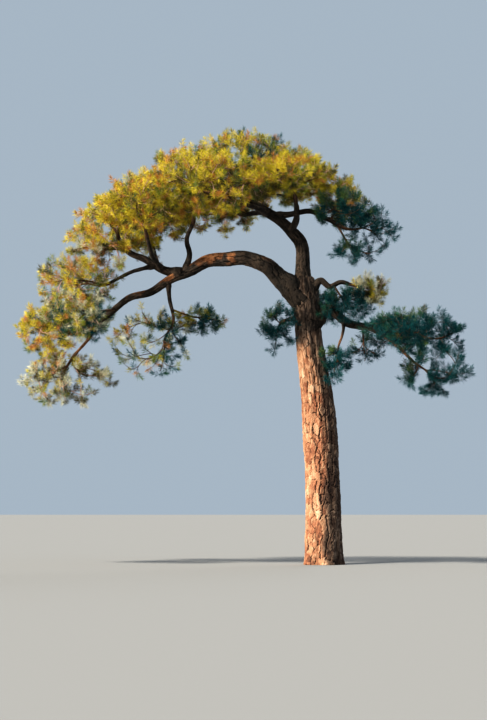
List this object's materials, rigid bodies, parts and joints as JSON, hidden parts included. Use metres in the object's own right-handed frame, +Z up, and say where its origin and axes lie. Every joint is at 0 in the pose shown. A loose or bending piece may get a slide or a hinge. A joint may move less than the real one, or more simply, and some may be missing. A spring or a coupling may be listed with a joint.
{
  "type": "pine tree",
  "caption": "Old wind-shaped pine: a leaning bare trunk, a long bough arching to the left and a domed crown of needle sprays.",
  "frame": {"origin": "middle of the flat cut under the trunk, at ground level", "axes": "+Z up, +X to the right of the crown's broad side, -Y towards the viewer of that side"},
  "size_m": [10.5118, 6.3286, 10.0902],
  "materials": {
    "trunk_bark": "rough plated bark, orange-tan with dark fissures",
    "bough_bark": "rough grey-brown bark",
    "sunlit_needles": "waxy needles, golden olive",
    "shaded_needles": "waxy needles, dark blue-green"
  },
  "bodies": {
    "root": {"trunk": "trunk_bark", "leader": "bough_bark", "leader_top": "bough_bark", "left_bough": "bough_bark", "left_bough_middle": "bough_bark", "left_bough_outer": "bough_bark", "left_bough_upper": "bough_bark", "left_riser": "bough_bark", "left_mid_limb": "bough_bark", "left_low_limb": "bough_bark", "hanging_limb": "bough_bark", "front_left_limb": "bough_bark", "back_left_limb": "bough_bark", "front_top_limb": "bough_bark", "back_top_limb": "bough_bark", "front_right_limb": "bough_bark", "back_right_limb": "bough_bark", "right_top_limb": "bough_bark", "right_top_riser": "bough_bark", "right_bough": "bough_bark", "right_bough_outer": "bough_bark", "right_low_limb": "bough_bark", "right_knob_limb": "bough_bark", "right_hanging_twig": "bough_bark", "left_trunk_limb": "bough_bark", "trunk_back_limb": "bough_bark", "top_centre": "sunlit_needles", "top_right": "sunlit_needles", "top_left": "sunlit_needles", "front_top": "sunlit_needles", "back_top": "sunlit_needles", "front_right": "sunlit_needles", "back_right": "sunlit_needles", "front_left": "sunlit_needles", "back_left": "sunlit_needles", "left_shoulder": "sunlit_needles", "left_outer": "sunlit_needles", "left_middle": "sunlit_needles", "left_front": "sunlit_needles", "left_back": "sunlit_needles", "left_tip": "sunlit_needles", "left_low": "sunlit_needles", "hanging_left": "shaded_needles", "hanging_right": "shaded_needles", "right_shoulder": "sunlit_needles", "right_upper_tip": "shaded_needles", "right_upper_front": "shaded_needles", "right_upper_back": "shaded_needles", "right_upper_low": "shaded_needles", "right_small": "shaded_needles", "right_inner": "shaded_needles", "right_main": "shaded_needles", "right_low": "shaded_needles", "right_front": "shaded_needles", "right_back": "shaded_needles", "right_hanging": "shaded_needles", "trunk_right": "shaded_needles", "trunk_left": "shaded_needles", "trunk_back": "shaded_needles"}
  },
  "joints": []
}
